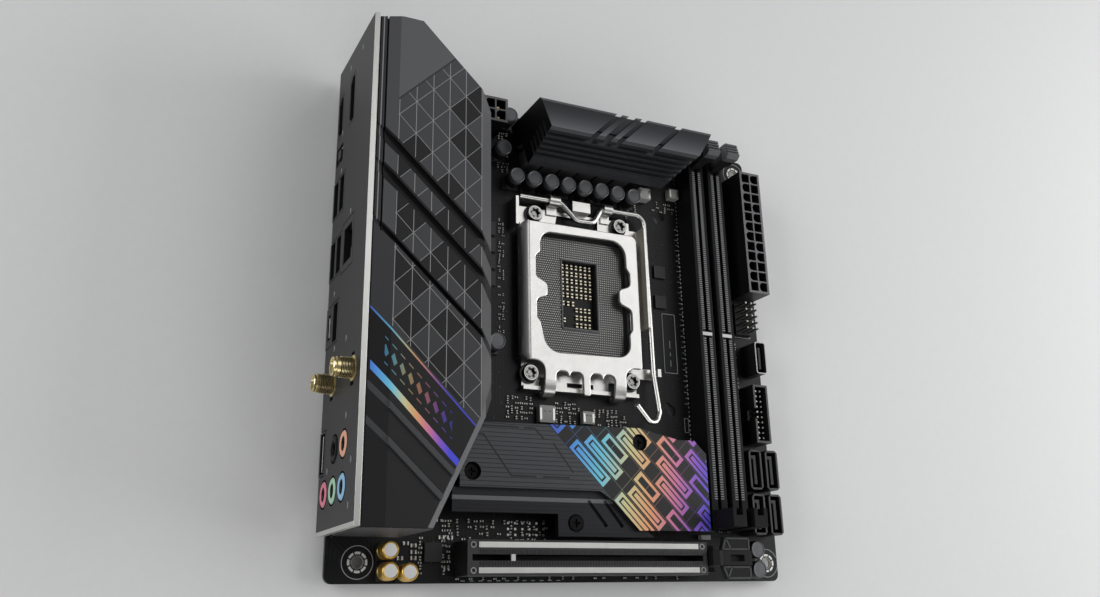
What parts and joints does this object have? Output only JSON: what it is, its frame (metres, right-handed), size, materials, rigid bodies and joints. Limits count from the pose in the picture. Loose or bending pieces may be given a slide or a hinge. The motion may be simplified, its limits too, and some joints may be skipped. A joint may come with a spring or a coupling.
{
  "type": "motherboard",
  "caption": "Small square computer motherboard with a levered processor socket, memory slots, an expansion slot, finned heatsinks, power headers and a covered rear connector panel.",
  "frame": {"origin": "middle of the bounding box, on its base under the socket's backplate", "axes": "+X from the rear connector panel across the board, +Y from the expansion slot to the far edge, +Z out of the component side"},
  "size_m": [0.1794, 0.1726, 0.0493],
  "materials": {
    "board": "solder-mask lacquer on glass fibre, near black",
    "solder": "tinned",
    "black_epoxy": "moulded chip resin",
    "ferrite": "pressed powder, light grey",
    "dark_can": "lacquered aluminium can",
    "gold_can": "gold-lacquered can",
    "choke": "pressed powder, dark grey",
    "sink_grey": "dark grey anodised aluminium, fine brushed",
    "pad": "thermal pad",
    "black_screw": "black oxide",
    "socket_resin": "moulded resin",
    "contact_gold": "fine gold-plated contacts",
    "bright_steel": "nickel-plated steel, satin",
    "ceramic": "tinned ceramic",
    "backplate": "black-coated steel",
    "slot_resin": "black moulded resin",
    "latch_grey": "grey moulded resin",
    "pin_gold": "plated brass",
    "pin_silver": "tinned brass",
    "silicon": "chip substrate and die",
    "port_steel": "dark-plated steel",
    "panel_grey": "dark grey painted steel",
    "cover_grey": "dark grey painted shell",
    "button_dark": "moulded resin",
    "radio_can": "tinned can",
    "ring_pink": "moulded resin",
    "ring_green": "moulded resin",
    "ring_blue": "moulded resin",
    "ring_orange": "moulded resin",
    "ring_black": "moulded resin"
  },
  "bodies": {
    "board": {"pcb": "board", "solder_tails": "solder", "chips": "black_epoxy", "inductors": "ferrite", "polymer_capacitors": "dark_can", "audio_capacitors": "gold_can", "power_stages": "black_epoxy", "power_chokes": "choke", "vrm_heatsink": "sink_grey", "thermal_pads": "pad", "heatsink_screws": "black_screw", "socket_body": "socket_resin", "socket_contacts": "contact_gold", "socket_frame": "bright_steel", "socket_screws": "bright_steel", "socket_backplate": "backplate", "socket_capacitors": "ceramic", "dimm_slot_a": "slot_resin", "dimm_slot_b": "slot_resin", "pcie_slot": "slot_resin", "pcie_shield": "bright_steel", "m2_heatsink": "sink_grey", "m2_screws": "black_screw", "m2_socket": "slot_resin", "chipset": "silicon", "atx_connector": "slot_resin", "cpu_power_connector": "slot_resin", "power_pins": "pin_gold", "usb3_header": "slot_resin", "header_pins": "pin_silver", "header_bases": "slot_resin", "usb_c_header": "bright_steel", "sata_ports": "slot_resin", "io_shield": "panel_grey", "io_cover": "cover_grey", "displayport": "port_steel", "hdmi_port": "port_steel", "usb_pair_port": "port_steel", "usb_lan_port": "port_steel", "usb_mixed_port": "port_steel", "usb_single_port": "port_steel", "port_tongues": "slot_resin", "flash_switch": "slot_resin", "antenna_jacks": "pin_gold", "antenna_nuts": "pin_gold", "wifi_module": "radio_can", "audio_block": "slot_resin", "jack_pink": "ring_pink", "jack_green": "ring_green", "jack_blue": "ring_blue", "jack_orange": "ring_orange", "jack_black": "ring_black", "cmos_battery": "black_epoxy"},
    "load_plate_body": {"load_plate": "bright_steel"},
    "load_lever_body": {"load_lever": "bright_steel"},
    "dimm_latch_a_body": {"dimm_latch_a": "latch_grey"},
    "dimm_latch_b_body": {"dimm_latch_b": "latch_grey"},
    "pcie_latch_body": {"pcie_latch": "latch_grey"},
    "flash_button_body": {"flash_button": "button_dark"}
  },
  "joints": [
    {"name": "lever_swing", "type": "hinge", "parent": "board", "child": "load_lever_body", "pos_m": [0.00825, 0.04967, 0.0082], "axis": [-1, 0, 0], "range_deg": [0, 110]},
    {"name": "plate_swing", "type": "hinge", "parent": "board", "child": "load_plate_body", "pos_m": [0.00825, -0.02332, 0.0062], "axis": [1, 0, 0], "range_deg": [0, 95]},
    {"name": "dimm_latch_a_swing", "type": "hinge", "parent": "board", "child": "dimm_latch_a_body", "pos_m": [0.05885, 0.07387, 0.0086], "axis": [-1, 0, 0], "range_deg": [0, 32]},
    {"name": "dimm_latch_b_swing", "type": "hinge", "parent": "board", "child": "dimm_latch_b_body", "pos_m": [0.06785, 0.07387, 0.0086], "axis": [-1, 0, 0], "range_deg": [0, 32]},
    {"name": "slot_latch_swing", "type": "hinge", "parent": "board", "child": "pcie_latch_body", "pos_m": [0.05445, -0.07898, 0.0086], "axis": [0, 1, 0], "range_deg": [0, 22]},
    {"name": "flash_press", "type": "slide", "parent": "board", "child": "flash_button_body", "axis": [1, 0, 0], "range_m": [0, 0.0008], "stiffness_N_per_m": 400}
  ]
}
